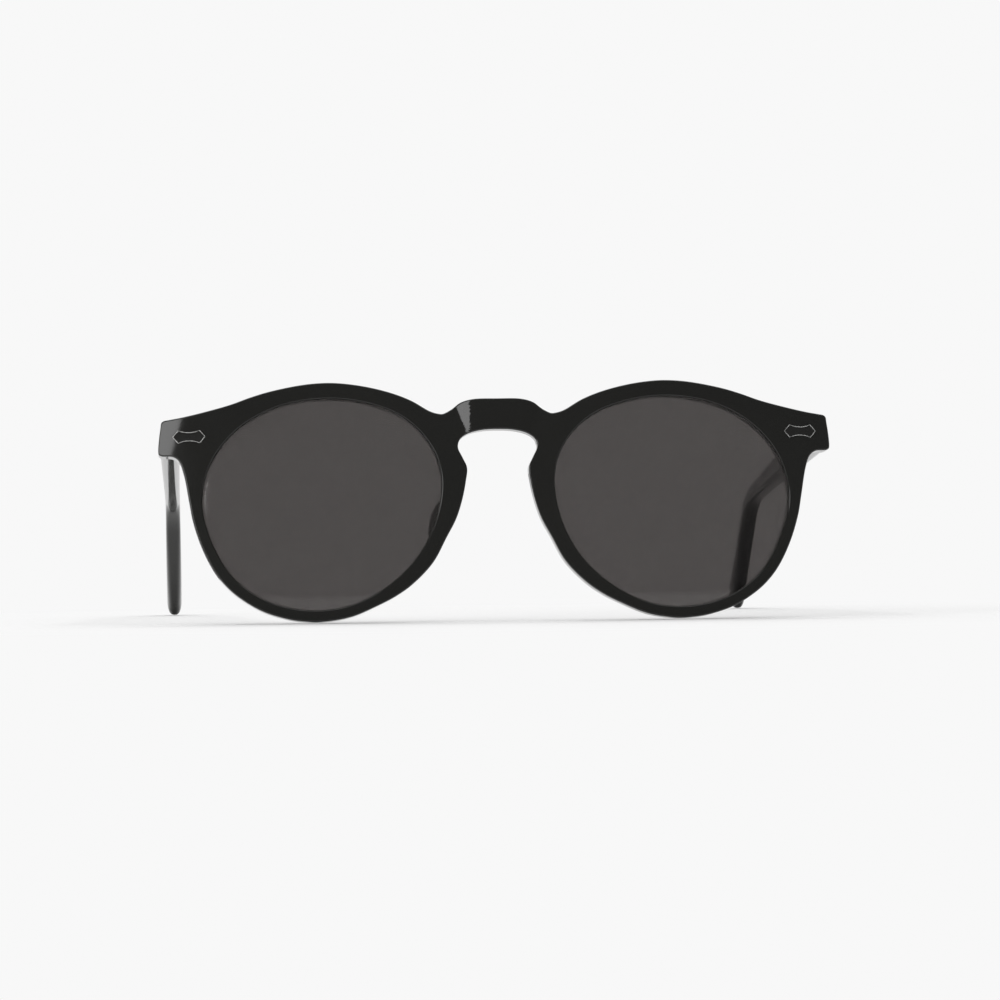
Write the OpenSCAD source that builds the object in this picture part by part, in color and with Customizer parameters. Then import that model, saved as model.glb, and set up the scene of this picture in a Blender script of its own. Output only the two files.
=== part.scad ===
// Polarized sunglasses with a round keyhole front and folding temples.
// All pieces are drawn in the plane of the front: X points to the wearer's left,
// Y back to the ears and Z up, with Z = 0 at the middle of the lenses. The front
// surface at the bridge is at Y = 0. The last step stands the glasses on a table.

/* [Front] */
// Width of the whole front
front_w = 140; // [136:0.5:146]
// Thickness of the front
front_t = 4; // [3.6:0.1:4.6]
// Radius that the front is bent to, seen from above
front_r = 380; // [320:10:480]
// Width of the rim over the lens
rim_top = 3.4; // [2.8:0.1:4]
// Width of the rim under the lens
rim_low = 2.4; // [2:0.1:3]
// Width of the rim beside the nose
rim_nose = 3.4; // [2.8:0.1:4]
// Height of the endpiece that carries the hinge
endpiece_h = 7.4; // [7:0.1:8.4]
// Height of the endpiece's middle over the lens middle
endpiece_z = 14.4; // [13.6:0.1:15]
// Depth of the endpiece from the bridge plane to its flat back
split_y = 12.4; // [12:0.1:13.4]

/* [Bridge] */
// Distance between the two lens openings
bridge_gap = 23.6; // [22:0.2:25]
// Height of the bridge's top edge over the lens middle
bridge_top = 21.5; // [20.6:0.1:22.4]
// Height of the keyhole's top over the lens middle
keyhole_top = 15.1; // [14.4:0.1:15.8]
// Width of the keyhole at its widest
keyhole_w = 16.4; // [15.6:0.2:17]
// Width of the waist under the keyhole
waist_w = 12.8; // [12:0.2:14]
// How far the nose pads stand out behind the front
pad_depth = 6.4; // [4.5:0.1:7.5]

/* [Lenses] */
// Width of the lens opening
opening_w = 49.2; // [47:0.2:51]
// Height of the lens opening
opening_h = 43.5; // [41.5:0.1:45]
// Depth of the groove that holds the lens edge
groove_depth = 0.8; // [0.5:0.05:1.1]
// Radius of the lens's outer surface
lens_r = 260; // [200:10:320]
// Distance of the lens's outer surface behind the front's surface
lens_set_back = 1; // [0.8:0.05:1.2]
// Thickness of the outer protective layer
outer_layer_t = 0.5; // [0.35:0.05:0.6]
// Thickness of the polarizing film
film_t = 0.12; // [0.1:0.02:0.2]
// Thickness of the inner protective layer
inner_layer_t = 0.5; // [0.35:0.05:0.6]

/* [Temples] */
// Length of a temple along its curve, from the split to the tip
temple_l = 145; // [140:1:150]
// Height of the temple at the hinge
temple_h = 7.3; // [6.8:0.1:7.6]
// Thickness of the temple at the hinge
temple_t = 4.1; // [3.8:0.1:4.3]
// Height of the temple where it is slimmest, before the ear
temple_slim = 3.5; // [3.1:0.1:4]
// Height of the paddle at the tip
paddle_h = 8.7; // [8:0.1:9.4]
// Distance from the split to the start of the ear bend
ear_start = 94; // [90:1:98]
// Angle of the ear bend
ear_bend = 31; // [26:1:34]
// Radius of the ear bend
ear_r = 34; // [28:1:40]
// Slope of the temple's lower edge against the front's square
temple_slope = 1; // [0:0.5:2]
// Diameter of the core wire inside the temple
wire_d = 1.3; // [1.1:0.05:1.5]

/* [Hinges] */
// Outer diameter of the hinge barrels
barrel_d = 2.8; // [2.6:0.1:3]
// Height of one barrel with its gap
barrel_pitch = 1.2; // [1.1:0.05:1.25]
// Gap between two barrels
barrel_gap = 0.08; // [0.06:0.02:0.12]
// Diameter of the hinge screw's shank
screw_d = 1.4; // [1.2:0.05:1.5]
// Running clearance around the screw's shank
screw_gap = 0.05; // [0.04:0.01:0.08]
// Thickness of the hinge plates
leaf_t = 1; // [0.8:0.05:1.1]
// Length of the plate set into the temple
temple_leaf_l = 14; // [12:0.5:16]
// Width of the plate set into the front
front_leaf_w = 6.4; // [6:0.1:6.8]
// Gap between the open temple's end and the endpiece
split_gap = 0.2; // [0.15:0.05:0.3]

/* [Plaques] */
// Length of the metal plaque on each endpiece
plaque_l = 6.6; // [6:0.1:7]
// Height of the plaque at its lobes
plaque_h = 2.7; // [2.4:0.1:3]
// Height of the plaque at its waist
plaque_waist = 1.5; // [1.2:0.1:1.8]
// Width of the plaque's raised border
plaque_border = 0.25; // [0.2:0.05:0.4]
// Thickness of the plaque
plaque_t = 0.6; // [0.5:0.05:0.8]
// Diameter of the pins that hold the plaque
pin_d = 0.9; // [0.7:0.05:1]
// Length of the pins behind the plaque
pin_l = 2; // [1.6:0.1:2.2]

/* [Stored pose] */
// Fold of the right temple, from 0 open
right_fold = 0; // [0:1:92]
// Fold of the left temple, from 0 open
left_fold = 0; // [0:1:84]

/* [Hidden] */
$fn = 96;

acetate = "#1f1f1d";
lens_grey = "#55524f";
film_grey = "#2e2d2c";
steel = "#b9bbbd";
dark_steel = "#8b8d8f";

lens_x = (bridge_gap + opening_w) / 2;
lens_t = outer_layer_t + film_t + inner_layer_t;
cut = 30;

// A smooth curve through chosen points, with no loops at uneven spacing
function between(a, b, ta, tb, t) = (b * (t - ta) + a * (tb - t)) / (tb - ta);
function curve_at(a, b, c, d, f) =
    let (t1 = sqrt(norm(b - a)), t2 = t1 + sqrt(norm(c - b)), t3 = t2 + sqrt(norm(d - c)))
    let (t = t1 + f * (t2 - t1))
    let (ab = between(a, b, 0, t1, t), bc = between(b, c, t1, t2, t))
    let (cd = between(c, d, t2, t3, t))
    between(between(ab, bc, 0, t2, t), between(bc, cd, t1, t3, t), t1, t2, t);
function closed_curve(p, steps) =
    let (n = len(p))
    [for (i = [0:n - 1], k = [0:steps - 1])
        curve_at(p[(i + n - 1) % n], p[i], p[(i + 1) % n], p[(i + 2) % n], k / steps)];
function open_curve(p, steps) =
    let (n = len(p), q = concat([2 * p[0] - p[1]], p, [2 * p[n - 1] - p[n - 2]]))
    concat([for (i = [1:n - 1], k = [0:steps - 1])
        curve_at(q[i - 1], q[i], q[i + 1], q[i + 2], k / steps)], [p[n - 1]]);

// A loop that runs anticlockwise, moved outwards by a distance
function moved_out(p, d) =
    let (n = len(p))
    [for (i = [0:n - 1])
        let (t = p[(i + 1) % n] - p[(i + n - 1) % n])
        p[i] + d * [t.y, -t.x] / norm(t)];

// The lens opening as shares of its half width and half height, from the temple
// side anticlockwise: nearly round, fuller at the upper nose corner
opening_shape = [
    [1, 0.05], [0.91, 0.44], [0.69, 0.735], [0.38, 0.925], [0.02, 1],
    [-0.34, 0.965], [-0.68, 0.82], [-0.91, 0.555], [-1, 0.25], [-0.96, -0.12],
    [-0.81, -0.48], [-0.545, -0.78], [-0.21, -0.965], [0.13, -1], [0.465, -0.905],
    [0.745, -0.675], [0.92, -0.335]
];
opening_steps = 5;
opening_loop = [for (p = closed_curve(opening_shape, opening_steps))
    [lens_x + p.x * opening_w / 2, p.y * opening_h / 2]];
lens_loop = moved_out(opening_loop, groove_depth);

// A point of the rim's outer edge, beside the opening's point number i
function rim_point(i, w) =
    moved_out(opening_loop, w)[round(i * opening_steps) % len(opening_loop)];

end_x = front_w / 2;
end_top = endpiece_z + endpiece_h / 2;
end_low = endpiece_z - endpiece_h / 2;
nose_edge = [
    [8.8, -3.4], [7.5, 0.5], [waist_w / 2 + 0.3, 4.3], [waist_w / 2, 7.2],
    [keyhole_w / 2 - 0.9, 9.3]
];

// The left half of the front's edge, from the top of the bridge clockwise
half_edge = concat(
    [[0, bridge_top], [5, bridge_top - 0.1], [7.5, bridge_top - 0.75], [9.4, 19.4],
        [11.4, 18.5], [13.8, 19]],
    [for (i = [6:-0.5:3.5]) rim_point(i, rim_top + (i > 5.2 ? 0.7 * (i - 5.2) : 0))],
    [rim_point(3, rim_top + 0.3), rim_point(2.6, rim_top + 0.8)],
    [[end_x - 15, end_top + 3], [end_x - 10, end_top + 1.7],
        [end_x - 5, end_top + 0.6], [end_x - 2, end_top + 0.15]],
    [[end_x - 0.8, end_top - 0.4], [end_x - 0.35, end_top - 1.6], [end_x - 0.1, endpiece_z],
        [end_x, end_low + 1.2], [end_x - 0.3, end_low + 0.3], [end_x - 1.1, end_low]],
    [[end_x - 3, end_low - 0.2], [end_x - 4.3, end_low - 1.2],
        [end_x - 5.2, end_low - 3.6]],
    [rim_point(0, rim_low + 0.3)],
    [for (i = [16.5:-0.5:11.5]) rim_point(i, rim_low)],
    [rim_point(11, (2 * rim_low + rim_nose) / 3), rim_point(10.5, (rim_low + 2 * rim_nose) / 3),
        rim_point(10, rim_nose), rim_point(9.5, rim_nose)],
    nose_edge,
    [[keyhole_w / 2, keyhole_top - 3.7], [keyhole_w / 2 - 0.4, keyhole_top - 2.1],
        [keyhole_w / 2 - 1.8, keyhole_top - 1], [3.5, keyhole_top - 0.2], [0, keyhole_top]]
);
half_n = len(half_edge);
edge_points = concat(half_edge, [for (i = [half_n - 2:-1:1]) [-half_edge[i].x, half_edge[i].y]]);
edge_loop = closed_curve(edge_points, 3);

// Depth of the front's surface at a distance from the middle
function front_y(x) = front_r - sqrt(front_r ^ 2 - x ^ 2);

// Hinge: the axis stands at the inner corner, in the plane of the split
hinge_x = end_x - 6.4;
hinge_y = split_y;
temple_in = end_x - 0.35 - temple_t;
temple_mid = temple_in + temple_t / 2;
block_in = temple_in - 0.15;
barrels = 5;
barrels_h = barrels * barrel_pitch - barrel_gap;
barrels_low = endpiece_z - barrels_h / 2;
leaf_h = barrels_h - 0.4;
front_leaf_y = front_y(hinge_x) + front_t - 0.9;
front_leaf_out = hinge_x + barrel_d / 2;
web_sink = 0.2;
knuckle_room = 0.15;

// Spine of the temple, 1.7 above its straight lower edge, as [y, z] with its slope
spine_up = temple_slim / 2;
spine_z = -temple_h / 2 + spine_up;
ear_l = ear_r * ear_bend * PI / 180;
ear_y = ear_start * cos(temple_slope);
ear_z = spine_z - ear_start * sin(temple_slope);
function spine_slope(s) =
    temple_slope + ear_bend * min(1, max(0, (s - ear_start) / ear_l));
function spine(s) =
    s < ear_start ? [s * cos(temple_slope), spine_z - s * sin(temple_slope)] :
    let (a = spine_slope(s), rest = max(0, s - ear_start - ear_l))
    [ear_y + ear_r * (sin(a) - sin(temple_slope)) + rest * cos(a),
        ear_z - ear_r * (cos(temple_slope) - cos(a)) - rest * sin(a)];

// Stations along the temple: distance, reach below the spine, reach above, thickness
cap_r = paddle_h / 2;
cap_s = temple_l - cap_r;
tail_l = cap_s - ear_start;
temple_plan = [
    [0, spine_up, temple_h - spine_up, temple_t],
    [10, spine_up, temple_h - spine_up - 0.5, temple_t - 0.05],
    [40, spine_up, (temple_h + temple_slim) / 2 - spine_up + 0.35, temple_t - 0.35],
    [70, spine_up, temple_slim - spine_up + 0.95, temple_t - 0.65],
    [ear_start, spine_up, temple_slim - spine_up + 0.1, temple_t - 0.75],
    [ear_start + tail_l * 0.24, spine_up + 0.15, spine_up + 0.1, temple_t - 0.75],
    [ear_start + tail_l * 0.5, spine_up + 0.6, spine_up + 0.6, temple_t - 0.65],
    [ear_start + tail_l * 0.76, cap_r - 1.15, cap_r - 1.55, temple_t - 0.6],
    [ear_start + tail_l * 0.92, cap_r - 0.2, cap_r - 0.45, temple_t - 0.6],
    [cap_s, cap_r, cap_r, temple_t - 0.6]
];
temple_run = open_curve(temple_plan, 4);
cap_turns = [12:13:77];
temple_cap = [for (a = cap_turns)
    [cap_s + cap_r * sin(a), cap_r * cos(a), cap_r * cos(a),
        (temple_t - 0.6) * sqrt(cos(a))]];
temple_stations = concat(temple_run, temple_cap,
    [[temple_l, cap_r * 0.1, cap_r * 0.1, temple_t * 0.2]]);

// One ring: a rounded oblong square to the spine, flatter than an ellipse
ring_n = 24;
corner_power = 0.42;
function rounded(v) = sign(v) * abs(v) ^ corner_power;
function temple_ring(st) =
    let (c = spine(st[0]), a = spine_slope(st[0]), h = (st[1] + st[2]) / 2, m = (st[2] - st[1]) / 2)
    [for (k = [0:ring_n - 1])
        let (u = rounded(cos(k * 360 / ring_n)) * st[3] / 2)
        let (v = rounded(sin(k * 360 / ring_n)) * h + m)
        [temple_mid + u, split_y + split_gap + c.x + v * sin(a), endpiece_z + c.y + v * cos(a)]];
temple_rings = [for (st = temple_stations) temple_ring(st)];

// Stance: the front leans back until both rims and both tips touch the table
rim_feet = [for (p = edge_loop) if (p.x > 0 && p.y < -opening_h / 2) [front_y(p.x) + front_t, p.y]];
tip_rings = [for (r = temple_rings) if (r[0].y > ear_start + ear_l) r];
lean = max([for (f = rim_feet) min([for (r = tip_rings, p = r) atan2(p.z - f.y, p.y - f.x)])]);
function stood_y(y, z) = y * cos(lean) + z * sin(lean);
function stood_z(y, z) = z * cos(lean) - y * sin(lean);
low_y = min([for (p = edge_loop) stood_y(front_y(p.x), p.y)]);
high_y = max([for (r = temple_rings, p = r) stood_y(p.y, p.z)]);
low_z = min([for (p = edge_loop) stood_z(front_y(p.x) + front_t, p.y)]);

// Puts the front's plane onto the table
module stood() {
    translate([0, -(low_y + high_y) / 2, -low_z]) rotate([-lean, 0, 0]) children();
}

// The wearer's right is the mirror image of the left
module right_side() {
    mirror([1, 0, 0]) children();
}

// Turns a left temple about its hinge
module folded(angle) {
    translate([hinge_x, hinge_y, 0]) rotate([0, 0, angle])
        translate([-hinge_x, -hinge_y, 0]) children();
}

// An outline in the front's plane, run back through a depth
module run_back(loop, from, to) {
    translate([0, to, 0]) rotate([90, 0, 0]) linear_extrude(to - from) polygon(loop);
}

// Everything behind a curved surface at a depth under the front's own
module behind_front(depth) {
    translate([0, front_r, -cut]) cylinder(r = front_r - depth, h = 2 * cut, $fn = 360);
}

// A solid between rings of points, with flat ends
module loft(rings) {
    n = len(rings[0]);
    m = len(rings);
    sides = [for (i = [0:m - 2], k = [0:n - 1])
        let (a = i * n + k, b = i * n + (k + 1) % n)
        each [[a, b, a + n], [b, b + n, a + n]]];
    polyhedron([for (r = rings) each r],
        concat(sides, [[for (k = [n - 1:-1:0]) k]], [[for (k = [0:n - 1]) (m - 1) * n + k]]));
}

// The lens blank between two depths under its outer surface
module lens_shell(loop, from, to) {
    turn = asin(lens_x / front_r);
    centre = [lens_x - lens_r * sin(turn), front_y(lens_x) + lens_set_back + lens_r * cos(turn), 0];
    intersection() {
        run_back(loop, 0, split_y);
        translate(centre) difference() {
            sphere(r = lens_r - from, $fn = 360);
            sphere(r = lens_r - to, $fn = 360);
        }
    }
}

// Bow tie outline of the plaque: two lobes that end in a point, and a waist
module plaque_outline(inset) {
    l = plaque_l / 2 - 1.2 * inset;
    h = plaque_h / 2 - inset;
    waist = plaque_waist / 2 - inset;
    half = [[0, waist], [l * 0.16, waist + 0.02], [l * 0.32, waist + 0.1], [l * 0.48, (waist + h) / 2],
        [l * 0.66, h], [l, 0]];
    n = len(half);
    polygon(concat(half, [for (i = [n - 2:-1:0]) [half[i].x, -half[i].y]],
        [for (i = [1:n - 1]) [-half[i].x, -half[i].y]], [for (i = [n - 2:-1:1]) [-half[i].x, half[i].y]]));
}

// Places a flat piece on the endpiece, square to the front's surface there
plaque_x = hinge_x;
plaque_seat = plaque_t / 2;
module on_endpiece() {
    translate([plaque_x, front_y(plaque_x), endpiece_z + 0.2])
        rotate([0, 0, asin(plaque_x / front_r)]) rotate([90, 0, 0]) children();
}

pin_x = plaque_l * 0.3;
module pins(d) {
    for (side = [-1, 1])
        on_endpiece() translate([side * pin_x, 0, -plaque_seat - pin_l]) cylinder(d = d, h = pin_l, $fn = 32);
}

// The hinge plate's pocket and foot in the back of the endpiece
module front_leaf_plate() {
    translate([front_leaf_out - front_leaf_w, front_leaf_y, endpiece_z - leaf_h / 2])
        cube([front_leaf_w, leaf_t, leaf_h]);
    translate([front_leaf_out - front_leaf_w + 1.2, front_leaf_y - 0.8, endpiece_z - leaf_h / 4])
        cube([front_leaf_w - 2.4, 0.8, leaf_h / 2]);
}

// Room for the hinge's webs where they leave the front
module knuckle_pocket() {
    from_x = hinge_x - barrel_d / 2 - knuckle_room;
    translate([from_x, front_leaf_y + leaf_t - web_sink - knuckle_room,
            endpiece_z - barrels_h / 2 - knuckle_room])
        cube([block_in - from_x, front_t, barrels_h + 2 * knuckle_room]);
}

module front_frame() {
    color(acetate) difference() {
        intersection() {
            run_back(edge_loop, -1, split_y);
            behind_front(0);
        }
        difference() {
            behind_front(front_t);
            for (side = [-1, 1])
                translate([side * (block_in + cut / 2), split_y, 0]) cube([cut, cut, cut * 3], center = true);
        }
        for (side = [0, 1]) mirror([side, 0, 0]) {
            run_back(opening_loop, -1, split_y + 1);
            lens_shell(lens_loop, 0, lens_t);
            front_leaf_plate();
            translate([front_leaf_out - front_leaf_w, front_leaf_y + leaf_t, endpiece_z - leaf_h / 2])
                cube([front_leaf_w, front_t, leaf_h]);
            knuckle_pocket();
            on_endpiece() translate([0, 0, -plaque_seat]) linear_extrude(plaque_t + 1) plaque_outline(0);
            pins(pin_d);
        }
    }
}

module lens_outer_layer() {
    color(lens_grey, 0.8) lens_shell(lens_loop, 0, outer_layer_t);
}

module lens_polarizer() {
    color(film_grey, 0.9) lens_shell(lens_loop, outer_layer_t, outer_layer_t + film_t);
}

module lens_inner_layer() {
    color(lens_grey, 0.8) lens_shell(lens_loop, outer_layer_t + film_t, lens_t);
}

// A thin metal plate with a raised border, half sunk into the endpiece
module plaque() {
    color(steel) on_endpiece() translate([0, 0, -plaque_seat]) difference() {
        linear_extrude(plaque_t) plaque_outline(0);
        translate([0, 0, plaque_t - 0.15]) linear_extrude(1) plaque_outline(plaque_border);
    }
}

module plaque_pins() {
    color(dark_steel) pins(pin_d);
}

// A pad bonded to the back of the rim, its inner face splayed like the nose
pad_low = -9;
pad_high = 5;
function nose_x(z) =
    lookup(z, concat([[-16, rim_point(10, rim_nose).x + 3]],
        [for (i = [10, 9.5]) let (p = rim_point(i, rim_nose)) [p.y, p.x]],
        [for (p = nose_edge) [p.y, p.x]]));
function pad_ring(f) =
    let (z = pad_low + f * (pad_high - pad_low), swell = sin(180 * (0.04 + 0.92 * f)) ^ 0.7)
    let (d = pad_depth * swell, x = nose_x(z) + 0.35, y = front_y(x) + front_t, w = 1.6 + 1.2 * swell)
    [[x, y - 2, z], [x + 0.12 * d, y + 0.35 * d, z], [x + 0.32 * d, y + 0.8 * d, z],
        [x + 0.45 * d, y + 0.96 * d, z], [x + 0.6 * d, y + d, z], [x + 0.75 * d, y + 0.93 * d, z],
        [x + 0.6 * d + 0.3 * w, y + 0.7 * d, z], [x + 0.3 * d + 0.75 * w, y + 0.3 * d, z],
        [x + w, y - 2, z]];
module nose_pad() {
    rings = [for (f = [0:1 / 14:1.001]) pad_ring(f)];
    color(acetate) intersection() {
        loft([for (r = rings) [for (k = [len(r) - 1:-1:0]) r[k]]]);
        behind_front(front_t);
    }
}

// One barrel of the hinge, number i from the bottom, with its bore
module barrel(i) {
    translate([hinge_x, hinge_y, barrels_low + i * barrel_pitch])
        cylinder(d = barrel_d, h = barrel_pitch - barrel_gap, $fn = 48);
}

module screw_bore() {
    translate([hinge_x, hinge_y, barrels_low - 1])
        cylinder(d = screw_d + 2 * screw_gap, h = barrels_h + 2, $fn = 48);
}

// Plate in the endpiece with the first, third and fifth barrel
module hinge_front_leaf() {
    web_y = front_leaf_y + leaf_t;
    color(steel) {
        difference() {
            union() {
                front_leaf_plate();
                for (i = [0:2:barrels - 1]) {
                    barrel(i);
                    translate([hinge_x - barrel_d / 2, web_y - web_sink, barrels_low + i * barrel_pitch])
                        cube([barrel_d, hinge_y - web_y + web_sink, barrel_pitch - barrel_gap]);
                }
            }
            screw_bore();
        }
    }
}

// Plate in the temple with the second and fourth barrel
leaf_y = split_y + 1.7;
module temple_leaf_plate() {
    translate([temple_in, leaf_y, endpiece_z - leaf_h / 2]) cube([leaf_t, temple_leaf_l, leaf_h]);
}

module temple_leaf_arm(i) {
    translate([0, 0, barrels_low + i * barrel_pitch]) linear_extrude(barrel_pitch - barrel_gap) polygon([
        [hinge_x - 0.2, hinge_y + barrel_d / 2], [hinge_x + barrel_d / 2 - 0.02, hinge_y],
        [temple_in + leaf_t, leaf_y], [temple_in + leaf_t, leaf_y + 2.2], [temple_in, leaf_y + 2.2]
    ]);
}

module hinge_temple_leaf() {
    color(steel) difference() {
        union() {
            temple_leaf_plate();
            for (i = [1:2:barrels - 2]) {
                barrel(i);
                temple_leaf_arm(i);
            }
        }
        screw_bore();
    }
}

// Screw with a slotted head on the top barrel
head_d = barrel_d - 0.3;
head_h = 0.7;
module hinge_screw() {
    top = barrels_low + barrels_h;
    color(dark_steel) difference() {
        translate([hinge_x, hinge_y, 0]) {
            translate([0, 0, barrels_low]) cylinder(d = screw_d, h = barrels_h, $fn = 48);
            translate([0, 0, top]) cylinder(d = head_d, h = head_h, $fn = 48);
        }
        translate([hinge_x - 0.2, hinge_y - head_d, top + head_h - 0.35]) cube([0.4, 2 * head_d, 1]);
    }
}

// The wire follows the spine, just outside the hinge plate
wire_x = temple_in + leaf_t + wire_d / 2;
wire_from = leaf_y - split_y + temple_leaf_l / 2;
wire_to = temple_l - 9;
wire_sides = 12;
function wire_ring(s) =
    let (c = spine(s), a = spine_slope(s))
    [for (k = [0:wire_sides - 1])
        let (u = cos(k * 360 / wire_sides) * wire_d / 2, v = sin(k * 360 / wire_sides) * wire_d / 2)
        [wire_x + u, split_y + split_gap + c.x + v * sin(a), endpiece_z + c.y + v * cos(a)]];
wire_bends = 7;
module wire_path() {
    loft([for (s = concat([wire_from], [for (i = [0:wire_bends]) ear_start + ear_l * i / wire_bends], [wire_to]))
        wire_ring(s)]);
}

module core_wire() {
    color(dark_steel) wire_path();
}

module temple() {
    color(acetate) difference() {
        loft(temple_rings);
        temple_leaf_plate();
        translate([temple_in - 1, leaf_y - 3, endpiece_z - leaf_h / 2]) cube([leaf_t + 1, 5.2, leaf_h]);
        wire_path();
    }
}

stood() front_frame();
stood() right_side() lens_outer_layer();  // right_lens_outer_layer
stood() right_side() lens_polarizer();  // right_lens_polarizer
stood() right_side() lens_inner_layer();  // right_lens_inner_layer
stood() lens_outer_layer();  // left_lens_outer_layer
stood() lens_polarizer();  // left_lens_polarizer
stood() lens_inner_layer();  // left_lens_inner_layer
stood() right_side() plaque();  // right_plaque
stood() plaque();  // left_plaque
stood() right_side() plaque_pins();  // right_plaque_pins
stood() plaque_pins();  // left_plaque_pins
stood() right_side() nose_pad();  // right_nose_pad
stood() nose_pad();  // left_nose_pad
stood() right_side() hinge_front_leaf();  // right_hinge_front_leaf
stood() hinge_front_leaf();  // left_hinge_front_leaf
stood() right_side() folded(right_fold) hinge_temple_leaf();  // right_hinge_temple_leaf
stood() folded(left_fold) hinge_temple_leaf();  // left_hinge_temple_leaf
stood() right_side() hinge_screw();  // right_hinge_screw
stood() hinge_screw();  // left_hinge_screw
stood() right_side() folded(right_fold) temple();  // right_temple
stood() folded(left_fold) temple();  // left_temple
stood() right_side() folded(right_fold) core_wire();  // right_core_wire
stood() folded(left_fold) core_wire();  // left_core_wire
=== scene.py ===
# %% [markdown]
# Polarized sunglasses, dressed for the picture
#
# The frame is a pair of round keyhole sunglasses: one front of black acetate, two
# laminated grey lenses, small silver plaques and two temples on barrel hinges. The
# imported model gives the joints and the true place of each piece. This script gives the
# acetate its polished, rounded edges, the lenses their tint and the metal its finish.
# All points are worked out in millimetres in the plane of the front, as the source of the
# model does, and are then leant back and moved onto the table in metres.

import math

import bpy
import numpy as np
from mathutils import Euler, Matrix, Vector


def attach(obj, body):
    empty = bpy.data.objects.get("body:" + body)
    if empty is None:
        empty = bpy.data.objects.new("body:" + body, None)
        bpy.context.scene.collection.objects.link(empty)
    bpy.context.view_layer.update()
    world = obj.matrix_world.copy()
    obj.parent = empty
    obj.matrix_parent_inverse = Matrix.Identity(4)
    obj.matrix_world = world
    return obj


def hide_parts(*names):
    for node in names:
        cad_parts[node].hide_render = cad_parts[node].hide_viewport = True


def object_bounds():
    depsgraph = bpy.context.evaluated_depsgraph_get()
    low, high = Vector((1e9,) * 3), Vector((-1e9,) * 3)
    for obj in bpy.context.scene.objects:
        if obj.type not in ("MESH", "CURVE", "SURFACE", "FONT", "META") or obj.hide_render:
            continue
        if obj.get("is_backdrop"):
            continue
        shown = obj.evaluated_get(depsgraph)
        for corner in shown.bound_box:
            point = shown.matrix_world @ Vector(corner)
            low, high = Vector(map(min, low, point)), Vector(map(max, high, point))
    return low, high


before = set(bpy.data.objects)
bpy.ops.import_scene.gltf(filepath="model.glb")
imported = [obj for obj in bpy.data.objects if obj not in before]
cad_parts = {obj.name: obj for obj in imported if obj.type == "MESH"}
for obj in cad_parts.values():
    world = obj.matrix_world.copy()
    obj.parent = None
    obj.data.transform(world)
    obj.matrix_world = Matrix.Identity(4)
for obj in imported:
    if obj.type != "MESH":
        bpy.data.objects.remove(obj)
cad_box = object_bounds()

# %% [markdown]
# The sizes are those of the model, in millimetres and degrees, and only the plaque is a
# little larger. The front leans back by a few degrees, because the glasses stand on the
# rims and on the two temple tips.

# %% Sizes
FRONT_W, FRONT_T, FRONT_R = 140.0, 4.0, 380.0  # width, thickness, radius of the bend
RIM_TOP, RIM_LOW, RIM_NOSE = 3.4, 2.4, 3.4  # widths of a rim
END_H, END_Z, SPLIT_Y = 7.4, 14.4, 12.4  # endpiece: height, middle, back
BRIDGE_GAP, BRIDGE_TOP = 23.6, 21.5  # width between the lenses, height of the bridge
KEYHOLE_TOP, KEYHOLE_W, WAIST_W = 15.1, 16.4, 12.8
OPENING_W, OPENING_H, GROOVE = 49.2, 43.5, 0.8  # lens opening and its groove's depth
LENS_R, LENS_BACK, LAYER_T, FILM_T = 260.0, 1.0, 0.5, 0.12  # curve, set-back, layers
TEMPLE_L, TEMPLE_H, TEMPLE_T, TEMPLE_SLIM, PADDLE_H = 145.0, 7.3, 4.1, 3.5, 8.7
EAR_START, EAR_BEND, EAR_R, TEMPLE_SLOPE = 94.0, 31.0, 34.0, 1.0
LEAF_L, SPLIT_GAP, BARREL_PITCH, BARREL_GAP = 14.0, 0.2, 1.2, 0.08  # hinge
PLAQUE_L, PLAQUE_H, PLAQUE_WAIST, PLAQUE_T, PLAQUE_BORDER = 6.9, 2.76, 1.84, 0.6, 0.13
PAD_DEPTH, PAD_LOW, PAD_HIGH = 6.4, -9.0, 5.0
PLAQUE_IN, TEMPLE_INSET, BLOCK_GAP, LEAF_MARGIN = 6.4, 0.35, 0.15, 0.4
# the lean and the stood part's reach in y and z, as the model's source works them out
LEAN = math.radians(4.27006)
LOW_Y, HIGH_Y, LOW_Z = -0.838609, 151.214, -24.614

LENS_X = (BRIDGE_GAP + OPENING_W) / 2
END_X = FRONT_W / 2
END_TOP, END_LOW = END_Z + END_H / 2, END_Z - END_H / 2
PLAQUE_X = END_X - PLAQUE_IN
TEMPLE_IN = END_X - TEMPLE_INSET - TEMPLE_T
TEMPLE_MID = TEMPLE_IN + TEMPLE_T / 2
BLOCK_IN = TEMPLE_IN - BLOCK_GAP
LEAF_H = 5 * BARREL_PITCH - BARREL_GAP - LEAF_MARGIN


def turned(p):
    """The lean of the front, L: y' = y cos L + z sin L, z' = z cos L - y sin L."""
    c, s = math.cos(LEAN), math.sin(LEAN)
    x, y, z = p[..., 0], p[..., 1], p[..., 2]
    return np.stack([x, y * c + z * s, z * c - y * s], -1)


def to_table(p):
    """Millimetres in the front's plane -> metres on the table: leant back, moved and scaled."""
    return (turned(p) - [0, (LOW_Y + HIGH_Y) / 2, LOW_Z]) / 1000


def front_y(x):
    """Depth of the bent front's surface: y = R - sqrt(R^2 - x^2)."""
    return FRONT_R - np.sqrt(FRONT_R**2 - x**2)


def ease(v):
    """Smooth step 3v^2 - 2v^3 of v held between 0 and 1."""
    v = np.clip(v, 0, 1)
    return v * v * (3 - 2 * v)


print("front leans back", round(math.degrees(LEAN), 2), "degrees")

# %% [markdown]
# Every outline here is a smooth curve through a few chosen points. The knots follow the
# root of the distance, so uneven spacing makes no loops. A loop that runs anticlockwise
# can be moved outwards, and that gives rims of a chosen width.


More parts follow.
